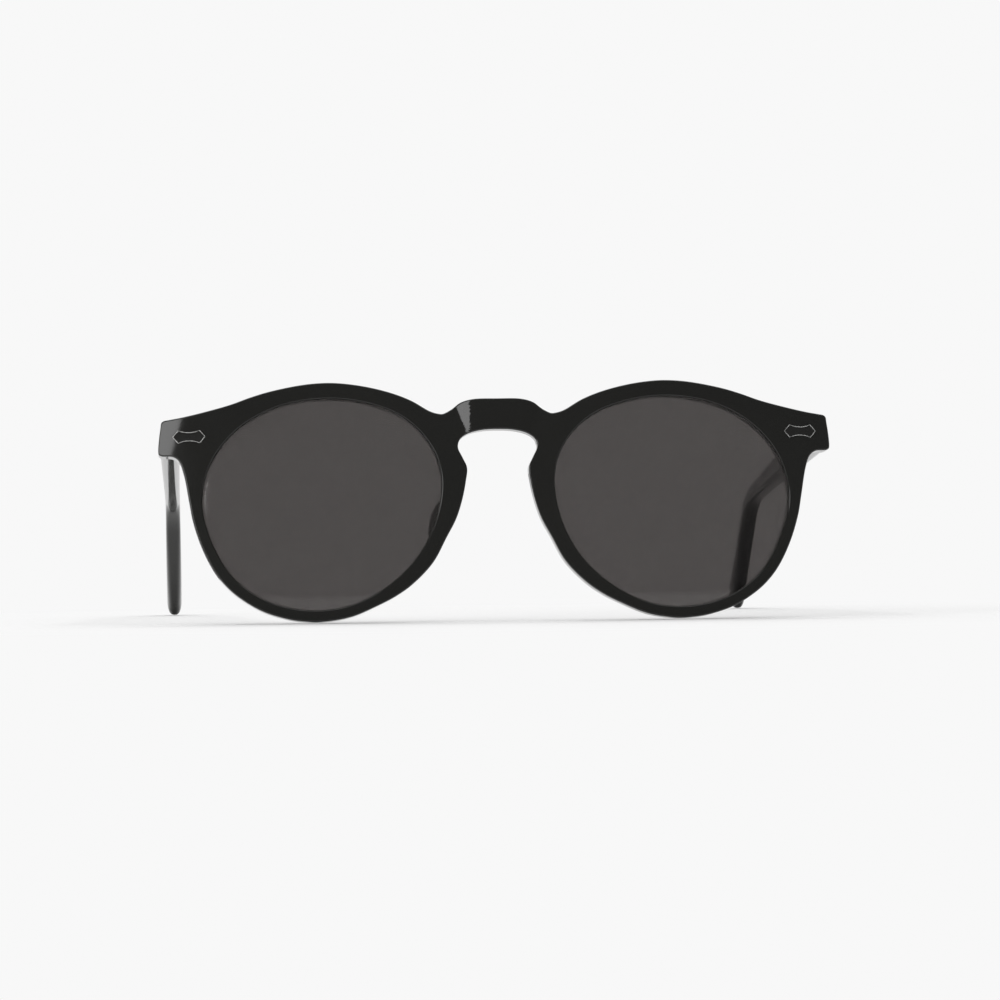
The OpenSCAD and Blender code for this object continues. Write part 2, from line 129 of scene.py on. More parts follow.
# %% Curves
def spline(p, steps, closed=False, dims=None):
    """Catmull-Rom through p with knots t += sqrt|b - a|, over the first dims coordinates."""
    p = np.asarray(p, float)
    if closed:
        q = np.vstack([p[-1:], p, p[:2]])
    else:
        q = np.vstack([2 * p[:1] - p[1:2], p, 2 * p[-1:] - p[-2:-1]])
    spans = len(q) - 3
    a, b, c, d = (q[k : k + spans, None, :] for k in range(4))

    def gap(u, v):
        return np.sqrt(np.linalg.norm((v - u)[..., :dims], axis=-1, keepdims=True))

    def mix(u, v, tu, tv):
        return (v * (t - tu) + u * (tv - t)) / (tv - tu)

    t1 = gap(a, b)
    t2 = t1 + gap(b, c)
    t3 = t2 + gap(c, d)
    t = t1 + np.arange(steps)[None, :, None] / steps * (t2 - t1)
    ab, bc, cd = mix(a, b, 0, t1), mix(b, c, t1, t2), mix(c, d, t2, t3)
    out = mix(mix(ab, bc, 0, t2), mix(bc, cd, t1, t3), t1, t2).reshape(-1, p.shape[1])
    return out if closed else np.vstack([out, p[-1:]])


def outward(p):
    """Unit normals of an anticlockwise loop of points: (t.z, -t.x) of the tangent t."""
    t = np.roll(p, -1, 0) - np.roll(p, 1, 0)
    n = np.stack([t[:, 1], -t[:, 0]], -1)
    return n / np.linalg.norm(n, axis=1, keepdims=True)


def sample(table, at):
    """Rows of a periodic table at positions given as shares of its length, mixed linearly."""
    n = len(table)
    f = (np.asarray(at) % 1.0) * n
    i = np.floor(f).astype(int) % n
    w = (f - np.floor(f))[..., None]
    return table[i] * (1 - w) + table[(i + 1) % n] * w


print("curves:", spline.__name__, outward.__name__, sample.__name__)

# %% [markdown]
# Each piece is a skin: points in the front's plane and the faces between them. A piece of
# the wearer's right side is the mirror image of the left one.

# %% Meshes
SHARP = math.radians(50)


def grid_faces(rows, cols, close_rows=False, close_cols=False):
    """Quads of a rows x cols grid of points, wrapped round where asked."""
    i = np.arange(rows if close_rows else rows - 1)[:, None]
    k = np.arange(cols if close_cols else cols - 1)[None, :]
    i2, k2 = (i + 1) % rows, (k + 1) % cols
    return np.stack([i * cols + k, i * cols + k2, i2 * cols + k2, i2 * cols + k], -1).reshape(-1, 4)


def make(name, skin, mats, body, slot, nodes, smooth=True, numbers=None, normals=None):
    """One object from a skin, on a body, for CAD nodes; numbers say each face's material."""
    points, faces = skin
    mesh = bpy.data.meshes.new(name)
    mesh.from_pydata(to_table(points.reshape(-1, 3)).tolist(), [], faces)
    for m in mats:
        mesh.materials.append(m)
    if numbers is not None:
        mesh.polygons.foreach_set("material_index", numbers)
    mesh.polygons.foreach_set("use_smooth", [smooth] * len(faces))
    mesh.validate()
    mesh.update()
    mesh.set_sharp_from_angle(angle=SHARP)
    if normals is not None:
        mesh.normals_split_custom_set_from_vertices(turned(normals).tolist())
    ob = bpy.data.objects.new(name, mesh)
    bpy.context.scene.collection.objects.link(ob)
    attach(ob, body)
    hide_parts(*nodes)
    print(name, "triangles", sum(len(f) - 2 for f in faces))


def mirrored(skin):
    """The wearer's right side of a skin of the left: x changes sign, and faces turn over."""
    points, faces = skin
    return points * [-1, 1, 1], [face[::-1] for face in faces]


print("meshes:", grid_faces.__name__, make.__name__, mirrored.__name__)

# %% [markdown]
# Materials are procedural. A noise in object coordinates moves the colour and the
# roughness a little, as polishing and handling do, and all else is one plain value.


# %% Node helpers
def material(name):
    """A new Principled material, with its nodes, its links and its shader."""
    m = bpy.data.materials.new(name)
    m.use_nodes = True
    return m, m.node_tree.nodes, m.node_tree.links, m.node_tree.nodes["Principled BSDF"]


def add(nodes, kind, operation=None):
    """A new shader node of a kind, with its operation where it has one."""
    node = nodes.new("ShaderNode" + kind)
    if operation:
        node.operation = operation
    return node


def map_range(nodes, start, end, low=0.0, high=1.0, eased=True):
    """A Map Range node that takes start..end to low..high."""
    node = add(nodes, "MapRange")
    if eased:
        node.interpolation_type = "SMOOTHSTEP"
    for socket, value in zip(("From Min", "From Max", "To Min", "To Max"), (start, end, low, high)):
        node.inputs[socket].default_value = value
    return node


NOISE_LOW, NOISE_HIGH = 0.3, 0.7  # the part of the noise's range that is used


def wander(nodes, links, scale, detail, low, high, stretch):
    """Noise in object coordinates, mapped to low..high; returns the output socket."""
    coords, turn, noise = (add(nodes, kind) for kind in ("TexCoord", "Mapping", "TexNoise"))
    turn.inputs["Scale"].default_value = stretch
    noise.inputs["Scale"].default_value = scale
    noise.inputs["Detail"].default_value = detail
    span = map_range(nodes, NOISE_LOW, NOISE_HIGH, low, high, False)
    links.new(coords.outputs["Object"], turn.inputs["Vector"])
    links.new(turn.outputs["Vector"], noise.inputs["Vector"])
    links.new(noise.outputs["Fac"], span.inputs["Value"])
    return span.outputs["Result"]


FINER = 2.3  # how much finer the roughness wanders than the colour
DETAIL, IOR = 3.0, 1.48


def tinted(name, dark, light, rough, scale, metallic=0.0, alpha=1.0, stretch=(1, 1, 1)):
    """A Principled material whose colour and roughness wander between two values."""
    m, nodes, links, bsdf = material(name)
    mix = add(nodes, "Mix")
    mix.data_type = "RGBA"
    mix.inputs["A"].default_value = (*dark, 1)
    mix.inputs["B"].default_value = (*light, 1)
    tone = wander(nodes, links, scale, DETAIL, 0, 1, stretch)
    polish = wander(nodes, links, scale * FINER, DETAIL, *rough, stretch)
    links.new(tone, mix.inputs["Factor"])
    links.new(mix.outputs["Result"], bsdf.inputs["Base Color"])
    links.new(polish, bsdf.inputs["Roughness"])
    bsdf.inputs["Metallic"].default_value = metallic
    bsdf.inputs["Alpha"].default_value = alpha
    bsdf.inputs["IOR"].default_value = IOR
    return m


print("noise used from", NOISE_LOW, "to", NOISE_HIGH)

# %% [markdown]
# The acetate is nearly black, and its polish wanders, as on a tumbled and buffed frame.
# The lens tint comes from thin see-through layers, a dark film between two lighter ones,
# so the tint is as deep from behind as from the front.

# %% Acetate and lenses
acetate = tinted(
    "acetate_black", (0.0098, 0.0098, 0.0088), (0.0116, 0.0116, 0.0104), (0.05, 0.09), 40
)
lens_layer = tinted(
    "lens_layer", (0.0076, 0.0073, 0.007), (0.0088, 0.0084, 0.008), (0.03, 0.05), 18, alpha=0.3
)
lens_film = tinted(
    "lens_film", (0.0072, 0.007, 0.0066), (0.0084, 0.008, 0.0077), (0.03, 0.05), 18
)
FILM_CLEAR, FILM_VEIL = (1, 0.961, 0.949, 1), 0.453
nodes, links = lens_film.node_tree.nodes, lens_film.node_tree.links
clear, veil = add(nodes, "BsdfTransparent"), add(nodes, "MixShader")
clear.inputs["Color"].default_value = FILM_CLEAR
veil.inputs["Fac"].default_value = FILM_VEIL
links.new(clear.outputs["BSDF"], veil.inputs[1])
links.new(nodes["Principled BSDF"].outputs["BSDF"], veil.inputs[2])
links.new(veil.outputs["Shader"], nodes["Material Output"].inputs["Surface"])
print("a face of the film lets through", round(1 - FILM_VEIL, 3))

# %% [markdown]
# The plaques are silver round a dark middle. The hinges, the screws, the pins and the
# core wires keep the shapes of the model, with a finish of ground or drawn steel.

# %% Metal
silver = tinted("plaque_silver", (0.5, 0.5, 0.49), (0.62, 0.62, 0.61), (0.16, 0.3), 900, metallic=1)
enamel = tinted(
    "plaque_dark", (0.0115, 0.0115, 0.0105), (0.0135, 0.0135, 0.0125), (0.05, 0.09), 300
)
BRUSHED = (1, 0.15, 1)  # the noise is drawn out along the leaf
hinge_steel = tinted(
    "hinge_steel", (0.53, 0.53, 0.52), (0.62, 0.62, 0.6), (0.31, 0.37), 700, metallic=1,
    stretch=BRUSHED,
)
screw_steel = tinted(
    "screw_steel", (0.42, 0.42, 0.42), (0.56, 0.56, 0.55), (0.2, 0.34), 1100, metallic=1
)
wire_steel = tinted("wire_steel", (0.4, 0.4, 0.4), (0.5, 0.5, 0.5), (0.25, 0.4), 500, metallic=1)
CAD_FINISH = {
    "hinge_front_leaf": hinge_steel,
    "hinge_temple_leaf": hinge_steel,
    "hinge_screw": screw_steel,
    "plaque_pins": wire_steel,
    "core_wire": wire_steel,
}
for side in ("right", "left"):
    for part, finish in CAD_FINISH.items():
        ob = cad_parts[side + "_" + part]
        ob.data.materials.clear()
        ob.data.materials.append(finish)
print("materials:", len(bpy.data.materials))

# %% [markdown]
# The outline follows from the lens opening: the rim is a chosen width outside it, and
# chosen points carry the bridge, the endpiece and the keyhole. One closed curve through
# the left half and its mirror image keeps the middle smooth. Each point of the edge also
# says from where on the opening its row of the grid starts.

# %% Front outline
# (x, z) of the opening as shares of its half width and half height, anticlockwise
OPENING = np.array([
    [1, 0.05], [0.91, 0.44], [0.69, 0.735], [0.38, 0.925], [0.02, 1], [-0.34, 0.965],
    [-0.68, 0.82], [-0.91, 0.555], [-1, 0.25], [-0.96, -0.12], [-0.81, -0.48],
    [-0.545, -0.78], [-0.21, -0.965], [0.13, -1], [0.465, -0.905], [0.745, -0.675], [0.92, -0.335],
])
half_size = np.array([OPENING_W / 2, OPENING_H / 2])
RIM_STEPS, FINE_STEPS, EDGE_STEPS = 5, 40, 7
opening = spline(OPENING, RIM_STEPS, True) * half_size + [LENS_X, 0]
opening_fine = spline(OPENING, FINE_STEPS, True) * half_size + [LENS_X, 0]
opening_out = outward(opening_fine)


def rim(i, w):
    """[x, z, i] of the rim's outer edge, a width w outside the opening's point number i."""
    k = int(round(i * RIM_STEPS)) % len(opening)
    return [*(opening[k] + w * outward(opening)[k]), i]


def rim_run(first, last, step, w):
    """Points of the rim's outer edge from one opening point to another, w(i) wide."""
    return [rim(i, w(i)) for i in np.arange(first, last + step / 2, step)]


NOSE_SIDE = [
    [8.8, -3.4], [7.5, 0.5], [WAIST_W / 2 + 0.3, 4.3], [WAIST_W / 2, 7.2],
    [KEYHOLE_W / 2 - 0.9, 9.3],
]
NOSE_ROWS = (-7.95, -8.38, -8.82, -9.22, -9.54)
# [x, z, i]: bridge, rim, endpiece, rim and keyhole, from the middle plane back to it
edge = (
    [[0, BRIDGE_TOP, 6.54], [5, BRIDGE_TOP - 0.1, 6.5], [7.5, BRIDGE_TOP - 0.75, 6.47],
     [9.3, 19.45, 6.43], [10.5, 18.75, 6.4], [11.3, 18.45, 6.37], [12.1, 18.5, 6.33],
     [13.8, 19, 6.24]]
    + rim_run(6, 3.5, -0.5, lambda i: RIM_TOP + max(0, 0.7 * (i - 5.2)))
    + [rim(3, RIM_TOP + 0.3), rim(2.6, RIM_TOP + 0.8)]
    + [[END_X - 15, END_TOP + 3, 2.35], [END_X - 10, END_TOP + 1.7, 2.1],
       [END_X - 5, END_TOP + 0.6, 1.9], [END_X - 2.2, END_TOP + 0.14, 1.76],
       [END_X - 1.2, END_TOP - 0.05, 1.7], [END_X - 0.7, END_TOP - 0.45, 1.65],
       [END_X - 0.5, END_TOP - 1.6, 1.58], [END_X - 0.2, END_Z, 1.48], [END_X, END_LOW + 1, 1.36],
       [END_X - 0.12, END_LOW + 0.35, 1.3], [END_X - 0.7, END_LOW, 1.23],
       [END_X - 3, END_LOW - 0.2, 1.08], [END_X - 4.3, END_LOW - 1.2, 0.9],
       [END_X - 5.2, END_LOW - 3.6, 0.5]]
    + [rim(0, RIM_LOW + 0.3)]
    + rim_run(-0.5, -5.5, -0.5, lambda i: RIM_LOW)
    + [rim(-6, (2 * RIM_LOW + RIM_NOSE) / 3), rim(-6.5, (RIM_LOW + 2 * RIM_NOSE) / 3),
       rim(-7, RIM_NOSE), rim(-7.5, RIM_NOSE)]
    + [[*point, i] for point, i in zip(NOSE_SIDE, NOSE_ROWS)]
    + [[KEYHOLE_W / 2, KEYHOLE_TOP - 3.7, -9.84], [KEYHOLE_W / 2 - 0.4, KEYHOLE_TOP - 2.1, -10.04],
       [KEYHOLE_W / 2 - 1.8, KEYHOLE_TOP - 1, -10.2], [3.5, KEYHOLE_TOP - 0.2, -10.32],
       [0, KEYHOLE_TOP, -10.38]]
)
edge = np.array(edge, float)
mirror_edge = edge[-2:0:-1] * [-1, 1, 1]
whole = spline(np.vstack([edge, mirror_edge]), EDGE_STEPS, True, 2)
whole_out = -outward(whole[:, :2])
last = (len(edge) - 1) * EDGE_STEPS
outer, outer_n = whole[: last + 1], whole_out[: last + 1]
outer[[0, -1], 0] = 0
outer_n[[0, -1]] = [[0, 1], [0, -1]]
print("edge rows:", len(outer))

# %% [markdown]
# The front is a bent sheet, polished into flats on the bridge and the endpieces. The
# flats are small falls of the face, worked out as depths over (x, z). The back is
# concentric with the face, and it steps back flat where the endpiece is thick.

# %% Front surfaces
FACET_SLOPE, FACET_IN, FACET_WIDE, FACET_WIDER, FACET_FADE = 0.24, 4.3, 2.2, 2.0, 16
FACET_GROWS, FACET_FULL = (KEYHOLE_TOP + 0.1, 5.3), (9.0, 6.0)  # heights: from, and over
SWEEP, SWEEP_IN, SWEEP_SLANT = 0.003, 6.6, 0.45
STEP_W, FACET_SOFT = 0.3, 1.4


def ramp(d, w=FACET_SOFT):
    """Integral of the smooth step: w (u^3 - u^4 / 2) with u = d / w up to w, then d - w / 2."""
    u = np.clip(d / w, 0, 1)
    return w * (u**3 - u**4 / 2) + np.maximum(d - w, 0)


def bridge_facet(x, z):
    """Depth by which the bridge's flanks fall back: a slope between its middle and the rims."""
    grown = np.clip((z - FACET_GROWS[0]) / FACET_GROWS[1], 0, 1)
    reach = FACET_WIDE + FACET_WIDER * grown
    d = np.abs(x) - FACET_IN
    gone = ease((d - reach) / FACET_FADE)
    full = ease((z - FACET_FULL[0]) / FACET_FULL[1])
    return FACET_SLOPE * (ramp(d) - ramp(d - reach)) * (1 - gone) * full


def end_sweep(x, z):
    """Depth by which an endpiece falls back outside a slanting line: 0.003 d^2."""
    line = END_X - SWEEP_IN + SWEEP_SLANT * (END_TOP - z)
    return SWEEP * np.maximum(np.abs(x) - line, 0) ** 2


def front_face(x, z):
    """Y of the front's outer face."""
    return front_y(x) + bridge_facet(x, z) + end_sweep(x, z)


def back_face(x):
    """Y of the front's back: concentric with the face, and flat where the endpiece is thick."""
    plain = FRONT_R - np.sqrt((FRONT_R - FRONT_T) ** 2 - x**2)
    return plain + ease((np.abs(x) - BLOCK_IN) / STEP_W) * (SPLIT_Y - plain)


def face_normal(surface, xz, step, sign):
    """Unit normals (y_x, -1, y_z) of y(x, z), sloped over two steps; sign turns them."""
    x, z = xz[..., 0], xz[..., 1]
    y_x = (surface(x + step, z) - surface(x - step, z)) / (2 * step)
    y_z = (surface(x, z + step) - surface(x, z - step)) / (2 * step)
    n = np.stack([y_x, -np.ones_like(y_x), y_z], -1) * sign
    return n / np.linalg.norm(n, axis=-1, keepdims=True)


print("bridge facet", round(float(bridge_facet(10.0, BRIDGE_TOP)), 2), "mm deep at x = 10")

# %% [markdown]
# The front's skin is one grid. A row runs from the lens opening to the outer edge, and a
# column runs along the whole edge, from the top of the bridge round the rim and back to
# the top of the keyhole. The edges are small quarter rounds, as polished acetate has.
# The flat columns are smoothed so that no rows cross under the bridge.


# %% Front grid
def corner(r, n, deep=1.0):
    """Quarter round from wall to face, r wide and deep * r deep, in n steps.

    Rows of (inset, depth, cos f, sin f). The normal turns by f, with tan f = tan(a) / deep
    for a = 0..90 degrees.
    """
    a = np.linspace(0, math.pi / 2, n)
    f = np.arctan2(np.sin(a), deep * np.cos(a))
    return np.stack([r - r * np.cos(a), deep * (r - r * np.sin(a)), np.cos(f), np.sin(f)], -1)


def woven(start, end, n, rounds=500):
    """Grid of n columns between two loops, smoothed so that no rows cross (Winslow).

    It solves a P_rr - 2 b P_rc + g P_cc = 0, where r runs along the loops and c across,
    a = |P_c|^2, b = P_r . P_c and g = |P_r|^2.
    """
    t = np.linspace(0, 1, n)[None, :, None]
    p = start[:, None] * (1 - t) + end[:, None] * t
    for _ in range(rounds):
        ahead, behind = np.roll(p, -1, 0), np.roll(p, 1, 0)
        along = (ahead - behind)[:, 1:-1] / 2
        over = (p[:, 2:] - p[:, :-2]) / 2
        twist = (ahead[:, 2:] - ahead[:, :-2] - behind[:, 2:] + behind[:, :-2]) / 4
        a, g = (over**2).sum(-1, keepdims=True), (along**2).sum(-1, keepdims=True)
        b = (along * over).sum(-1, keepdims=True)
        new = a * (ahead + behind)[:, 1:-1] + g * (p[:, 2:] + p[:, :-2]) - 2 * b * twist
        p[:, 1:-1] = new / np.maximum(2 * (a + g), 1e-12)
    return p[:, 1:-1]


EDGE_ROUND, LENS_ROUND, LENS_DEEP = 0.3, 0.35, 1.8
BACK_ROUND = 0.45
LENS_BACK_ROUND = BACK_ROUND * 0.5
ROUND_COLS, LENS_COLS, LENS_BACK_COLS = 7, 9, 5
FLAT_COLS, STEP_COLS, SEAM_ROWS = 36, 5, 12
WALL_SHARES = (0.33, 0.66)
END_FROM, END_OVER = 58, 5  # x where straight rows take over at the endpiece
LEAST_SHARE, TINY = 2e-3, 1e-6
FRONT_SLOPE, BACK_SLOPE = 0.1, 0.02  # steps over which the slopes are measured


def half_rows():
    """Starts and ends of the rows of the left half, with the outward normals of both.

    The rows go round the edge and then down the middle plane, which closes the loop.
    """
    seam = np.linspace(0, 1, SEAM_ROWS + 2)[1:-1]
    low, high = KEYHOLE_TOP + EDGE_ROUND, BRIDGE_TOP - EDGE_ROUND
    seam_xz = np.stack([seam * 0, low + (high - low) * seam], -1)
    seam_i = outer[-1, 2] + (outer[0, 2] - len(OPENING) - outer[-1, 2]) * seam
    at = np.concatenate([outer[:, 2], seam_i]) / len(OPENING)
    inner, inner_n = sample(opening_fine, at), sample(opening_out, at)
    inner_n = inner_n / np.linalg.norm(inner_n, axis=1, keepdims=True)
    edge_xz = np.vstack([outer[:, :2], seam_xz])
    edge_n = np.vstack([outer_n, np.tile([-1.0, 0.0], (SEAM_ROWS, 1))])
    return inner, inner_n, edge_xz, edge_n


def back_columns(start, end, edge_x):
    """Columns across the back: woven, but straight rows at the endpiece.

    There the first columns gather where a row crosses the step to the thick part.
    """
    n = FLAT_COLS + STEP_COLS
    steps = BLOCK_IN + 1.2 * STEP_W - 1.4 * STEP_W * np.linspace(0, 1, STEP_COLS)
    span = np.maximum(start[:, 0] - end[:, 0], TINY)[:, None]
    at_step = np.clip((start[:, 0][:, None] - steps) / span, 0, 1)
    rest = at_step[:, -1:] + (1 - at_step[:, -1:]) * np.linspace(0, 1, FLAT_COLS + 1)[1:]
    lined = np.concatenate([at_step, rest], 1)[:, : n - 2]
    lined = np.maximum(lined, (np.arange(n - 2) + 1) * LEAST_SHARE)
    weight = ease((edge_x - END_FROM) / END_OVER)[:, None, None]
    straight = start[:, None] + (end - start)[:, None] * lined[..., None]
    return straight * weight + woven(start, end, n) * (1 - weight)


def half_columns(inner, inner_n, edge_xz, edge_n):
    """Columns round the section of the left half, and the first and last on the outer wall.

    A column is its points, its share of the thickness, an extra depth, the normals of its
    wall, and the shares of wall and face in its normals.
    """
    on_edge = (np.arange(len(edge_xz)) < len(outer))[:, None]
    cols = []

    def inset(r):
        return np.where(on_edge, edge_xz - edge_n * r, edge_xz)

    def flat_run(points, share):
        for p in np.moveaxis(points, 1, 0):
            cols.append((p, share, 0.0, inner_n, 0.0, 1.0))

    for off, d, c, s in corner(LENS_BACK_ROUND, LENS_BACK_COLS)[::-1]:
        cols.append((inner + inner_n * off, 1.0, -d, -inner_n, c, s))
    for share in WALL_SHARES[::-1]:
        cols.append((inner, share, 0.0, -inner_n, 1.0, 0.0))
    for off, d, c, s in corner(LENS_ROUND, LENS_COLS, LENS_DEEP):
        cols.append((inner + inner_n * off, 0.0, d, -inner_n, c, s))
    flat_run(woven(inner + inner_n * LENS_ROUND, inset(EDGE_ROUND), FLAT_COLS), 0.0)
    wall_from = len(cols)
    for off, d, c, s in corner(EDGE_ROUND, ROUND_COLS)[::-1]:
        cols.append((inset(off), 0.0, d, edge_n, c, s))
    for share in WALL_SHARES:
        cols.append((edge_xz, share, 0.0, edge_n, 1.0, 0.0))
    for off, d, c, s in corner(BACK_ROUND, ROUND_COLS):
        cols.append((inset(off), 1.0, -d, edge_n, c, s))
    wall_to = len(cols)
    back_edge = inner + inner_n * LENS_BACK_ROUND
    flat_run(back_columns(inset(BACK_ROUND), back_edge, edge_xz[:, 0]), 1.0)
    return cols, wall_from, wall_to


def half_front():
    """Points and normals of the left half's grid, and where its outer wall begins and ends."""
    cols, wall_from, wall_to = half_columns(*half_rows())
    xz = np.stack([c[0] for c in cols], 1)
    share, shift, wall, level = (np.array([c[k] for c in cols]) for k in (1, 2, 4, 5))
    near, far = front_face(xz[..., 0], xz[..., 1]), back_face(xz[..., 0])
    y = near + (far - near) * share + shift
    points = np.stack([xz[..., 0], y, xz[..., 1]], -1)
    points[len(outer) :, [wall_from, wall_to - 1], 0] = 0
    wall_n = np.stack([c[3] for c in cols], 1) * wall[:, None]
    wall_n = np.stack([wall_n[..., 0], 0 * y, wall_n[..., 1]], -1)
    front_n = face_normal(front_face, xz, FRONT_SLOPE, 1)
    back_n = face_normal(lambda x, z: back_face(x), xz, BACK_SLOPE, -1)
    normals = wall_n + level[:, None] * np.where(share[:, None] > 0.5, back_n, front_n)
    return points, normals, wall_from, wall_to


grid, grid_n, wall_from, wall_to = half_front()
print("grid of a half:", grid.shape[:2])

# %% [markdown]
# The two halves meet on the middle plane and share their points there. The grid's faces
# along the plane are inside the acetate, so they are left out.

# %% Front
rows, cols = grid.shape[:2]
faces = grid_faces(rows, cols, True, True)[:, ::-1]
row_of, col_of = faces[:, 3] // cols, faces[:, 3] % cols
in_wall = (col_of >= wall_from) & (col_of < wall_to - 1)
faces = faces[~(in_wall & (row_of >= len(outer) - 1))]
flat, flat_n = grid.reshape(-1, 3), grid_n.reshape(-1, 3)
both, both_n = (np.vstack([a, a * [-1, 1, 1]]) for a in (flat, flat_n))
both_faces = np.vstack([faces, (faces + len(flat))[:, ::-1]])
middle = np.abs(flat[:, 0]) < TINY
index = np.arange(len(both))
index[len(flat) :][middle] = np.nonzero(middle)[0]
used, both_faces = np.unique(index[both_faces], return_inverse=True)
both_faces = both_faces.reshape(-1, 4)
# a face is turned over where the product of its diagonals goes against its normal
diagonals = both[used][both_faces[:, 2:]] - both[used][both_faces[:, :2]]
facing = (np.cross(diagonals[:, 0], diagonals[:, 1]) * both_n[used][both_faces[:, 0]]).sum(-1)
print("front faces:", len(both_faces), "turned over:", int((facing < -1e-9).sum()))
skin = both[used], both_faces.tolist()
make(
    "front_acetate", skin, [acetate], "front", "acetate", ["front_frame"], normals=both_n[used]
)

# %% [markdown]
# A lens is cut from a laminated spherical sheet: a protective layer, the polarizing film
# and a second layer. Each is a thin shell between two spheres about one centre, wider
# than the opening by the depth of the groove.


# %% Lenses
GROOVE_FIT = GROOVE - 0.02
LENS_STEPS, LENS_RINGS, AIR = 12, 18, 0.03


def lens_shell(start, end):
    """Shell between two depths: y = cy - sqrt(r^2 - (x - cx)^2 - z^2), in rings."""
    turn = math.asin(LENS_X / FRONT_R)
    cx = LENS_X - LENS_R * math.sin(turn)
    cy = front_y(np.array(LENS_X)) + LENS_BACK + LENS_R * math.cos(turn)
    loop = spline(OPENING, LENS_STEPS, True) * half_size + [LENS_X, 0]
    loop = loop + outward(loop) * GROOVE_FIT
    f = np.sqrt(np.linspace(0, 1, LENS_RINGS + 1))[1:, None, None]
    flat = np.array([LENS_X, 0]) + (loop - [LENS_X, 0])[None] * f
    n = len(loop)

    def sheet(r):
        y = cy - np.sqrt(r * r - (flat[..., 0] - cx) ** 2 - flat[..., 1] ** 2)
        middle = [LENS_X, cy - math.sqrt(r * r - (LENS_X - cx) ** 2), 0]
        return np.vstack([[middle], np.stack([flat[..., 0], y, flat[..., 1]], -1).reshape(-1, 3)])

    near, far = sheet(LENS_R - start), sheet(LENS_R - end)
    ring = np.arange(n)
    after = (ring + 1) % n
    fan = np.stack([ring * 0, 1 + ring, 1 + after], -1)
    quads = grid_faces(len(f), n, False, True) + 1
    count = len(near)
    rim_near, rim_far = count - n, 2 * count - n
    side = np.stack([rim_near + ring, rim_near + after, rim_far + after, rim_far + ring], -1)
    faces = fan.tolist() + quads[:, ::-1].tolist()
    faces += (fan[:, ::-1] + count).tolist() + (quads + count).tolist() + side[:, ::-1].tolist()
    return np.vstack([near, far]), faces


FILM_BACK = LAYER_T + FILM_T
layers = {
    "lens_outer_layer": (0, LAYER_T - AIR, lens_layer, "lens_layer"),
    "lens_polarizer": (LAYER_T, FILM_BACK, lens_film, "polarizing_film"),
    "lens_inner_layer": (FILM_BACK + AIR, FILM_BACK + LAYER_T, lens_layer, "lens_layer"),
}
for layer, (start, end, look, finish) in layers.items():
    skin = lens_shell(start, end)
    make("left_" + layer + "_clear", skin, [look], "front", finish, ["left_" + layer])
    make("right_" + layer + "_clear", mirrored(skin), [look], "front", finish, ["right_" + layer])

# %% [markdown]
# A temple is milled from a strip of acetate, bent over the ear and buffed. Rings square
# to its spine carry the height and the thickness, and the section is a rounded oblong.
# Its inner face is let in by a hair where the hinge plate lies.


# %% Temples
EAR_L = EAR_R * math.radians(EAR_BEND)


def spine_slope(s):
    """Slope of the spine in degrees: straight, then the ear bend, then straight."""
    return TEMPLE_SLOPE + EAR_BEND * np.clip((s - EAR_START) / EAR_L, 0, 1)


def spine(s):
    """(y, z) along the spine: a line, an arc of radius EAR_R and a line again."""
    k = math.radians(TEMPLE_SLOPE)
    a = np.radians(spine_slope(s))
    first, rest = np.minimum(s, EAR_START), np.maximum(0, s - EAR_START - EAR_L)
    y = first * math.cos(k) + EAR_R * (np.sin(a) - math.sin(k)) + rest * np.cos(a)
    z = -TEMPLE_H / 2 + TEMPLE_SLIM / 2 - first * math.sin(k) - EAR_R * (math.cos(k) - np.cos(a))
    return y, z - rest * np.sin(a)


UP = TEMPLE_SLIM / 2
CAP_R = PADDLE_H / 2
CAP_S = TEMPLE_L - CAP_R
TAIL_L = CAP_S - EAR_START
PADDLE_T = TEMPLE_T - 0.6
# [length along the spine, height below it, height above it, thickness]
PLAN = [
    [0, UP, TEMPLE_H - UP, TEMPLE_T],
    [10, UP, TEMPLE_H - UP - 0.5, TEMPLE_T - 0.05],
    [40, UP, (TEMPLE_H + TEMPLE_SLIM) / 2 - UP + 0.35, TEMPLE_T - 0.35],
    [70, UP, TEMPLE_SLIM - UP + 0.95, TEMPLE_T - 0.65],
    [EAR_START, UP, TEMPLE_SLIM - UP + 0.1, TEMPLE_T - 0.75],
    [EAR_START + TAIL_L * 0.24, UP + 0.15, UP + 0.1, TEMPLE_T - 0.75],
    [EAR_START + TAIL_L * 0.5, UP + 0.6, UP + 0.6, TEMPLE_T - 0.65],
    [EAR_START + TAIL_L * 0.76, CAP_R - 1.15, CAP_R - 1.55, PADDLE_T],
    [EAR_START + TAIL_L * 0.92, CAP_R - 0.2, CAP_R - 0.45, PADDLE_T],
    [CAP_S, CAP_R, CAP_R, PADDLE_T],
]
PLAN_STEPS, RING_POINTS, LEAD_ROUND = 14, 96, 0.3
SQUARE, ROUNDER = 0.42, 0.34  # power of the section, and what the tip adds to it
ROUNDER_FROM, ROUNDER_OVER = EAR_START + 10, TAIL_L - 12


def temple_ring(s, low, high, thick):
    """Rings at lengths s: u = sgn cos |cos|^p t / 2 across and v = sgn sin |sin|^p h + m up."""
    w = np.arange(RING_POINTS) * 2 * math.pi / RING_POINTS
    power = SQUARE + ROUNDER * ease((s - ROUNDER_FROM) / ROUNDER_OVER)[:, None]
    u, v = (np.sign(f(w)) * np.abs(f(w)) ** power for f in (np.cos, np.sin))
    h, m = (low + high)[:, None] / 2, (high - low)[:, None] / 2
    y, z = spine(s)
    t = np.radians(spine_slope(s))[:, None]
    up = v * h + m
    return np.stack([
        TEMPLE_MID + u * thick[:, None] / 2,
        SPLIT_Y + SPLIT_GAP + y[:, None] + up * np.sin(t), END_Z + z[:, None] + up * np.cos(t),
    ], -1)


